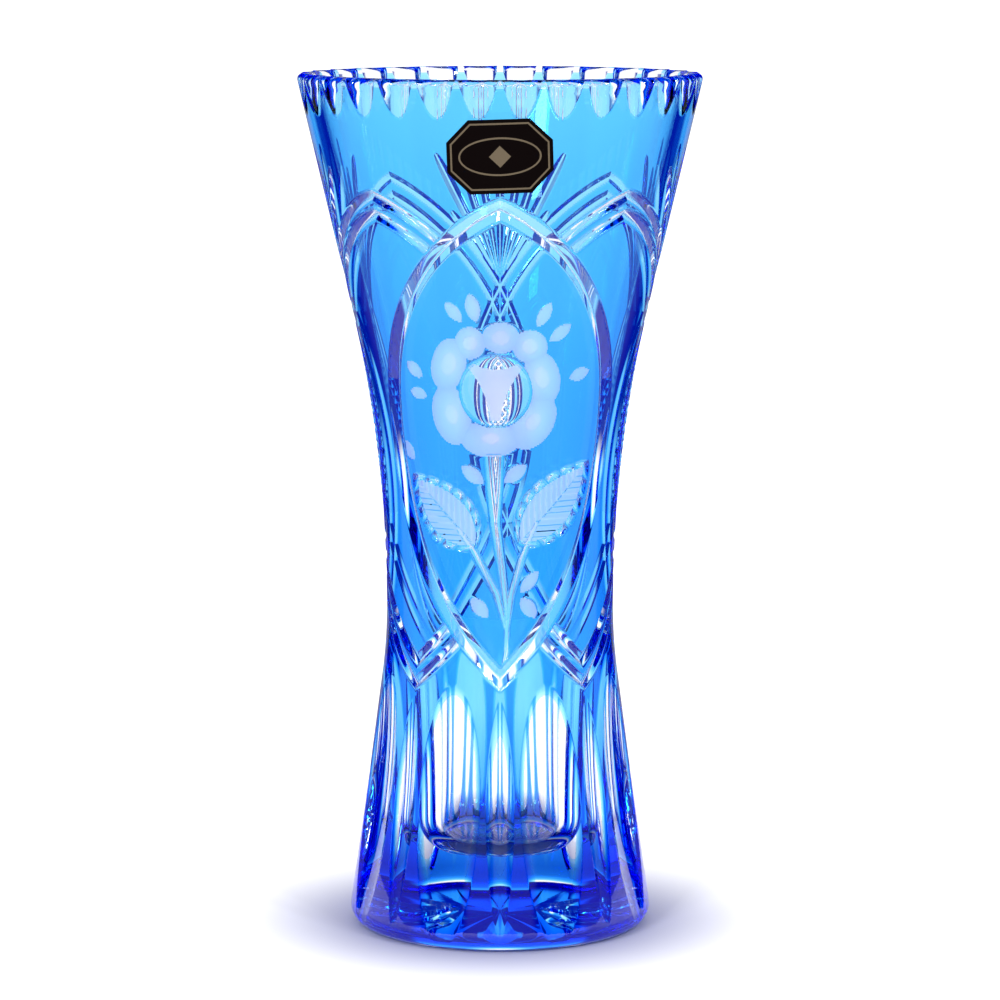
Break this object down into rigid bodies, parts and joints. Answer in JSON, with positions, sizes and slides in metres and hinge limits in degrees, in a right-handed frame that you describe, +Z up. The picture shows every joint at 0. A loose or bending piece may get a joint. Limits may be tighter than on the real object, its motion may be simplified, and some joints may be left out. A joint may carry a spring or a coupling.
{
  "type": "cut crystal vase",
  "caption": "Flared vase of thick clear crystal in a thin blue glass casing, cut through in pointed ovals, flutes and an engraved flower; stands on its foot and holds cut flowers.",
  "frame": {"origin": "middle of the face the vase stands on", "axes": "+Z up along the vase's axis, -Y towards the flower panel and label, +X to the right seen from there"},
  "size_m": [0.1164, 0.117, 0.25],
  "materials": {
    "clear_crystal": "polished clear lead crystal, matt where engraved",
    "blue_casing": "polished transparent blue glass",
    "label_foil": "satin dark foil sticker",
    "label_print": "dull gold ink"
  },
  "bodies": {
    "root": {"crystal_body": "clear_crystal", "casing_upper_band": "blue_casing", "casing_lower_band": "blue_casing", "casing_flower_panel": "blue_casing", "casing_side_field_left": "blue_casing", "casing_side_field_right": "blue_casing", "casing_rear_field_left": "blue_casing", "casing_rear_field_right": "blue_casing", "casing_border_tops": "blue_casing", "casing_border_tips": "blue_casing", "casing_crossing_left": "blue_casing", "casing_crossing_rear": "blue_casing", "casing_crossing_right": "blue_casing", "label_foil": "label_foil", "label_print": "label_print"}
  },
  "joints": []
}
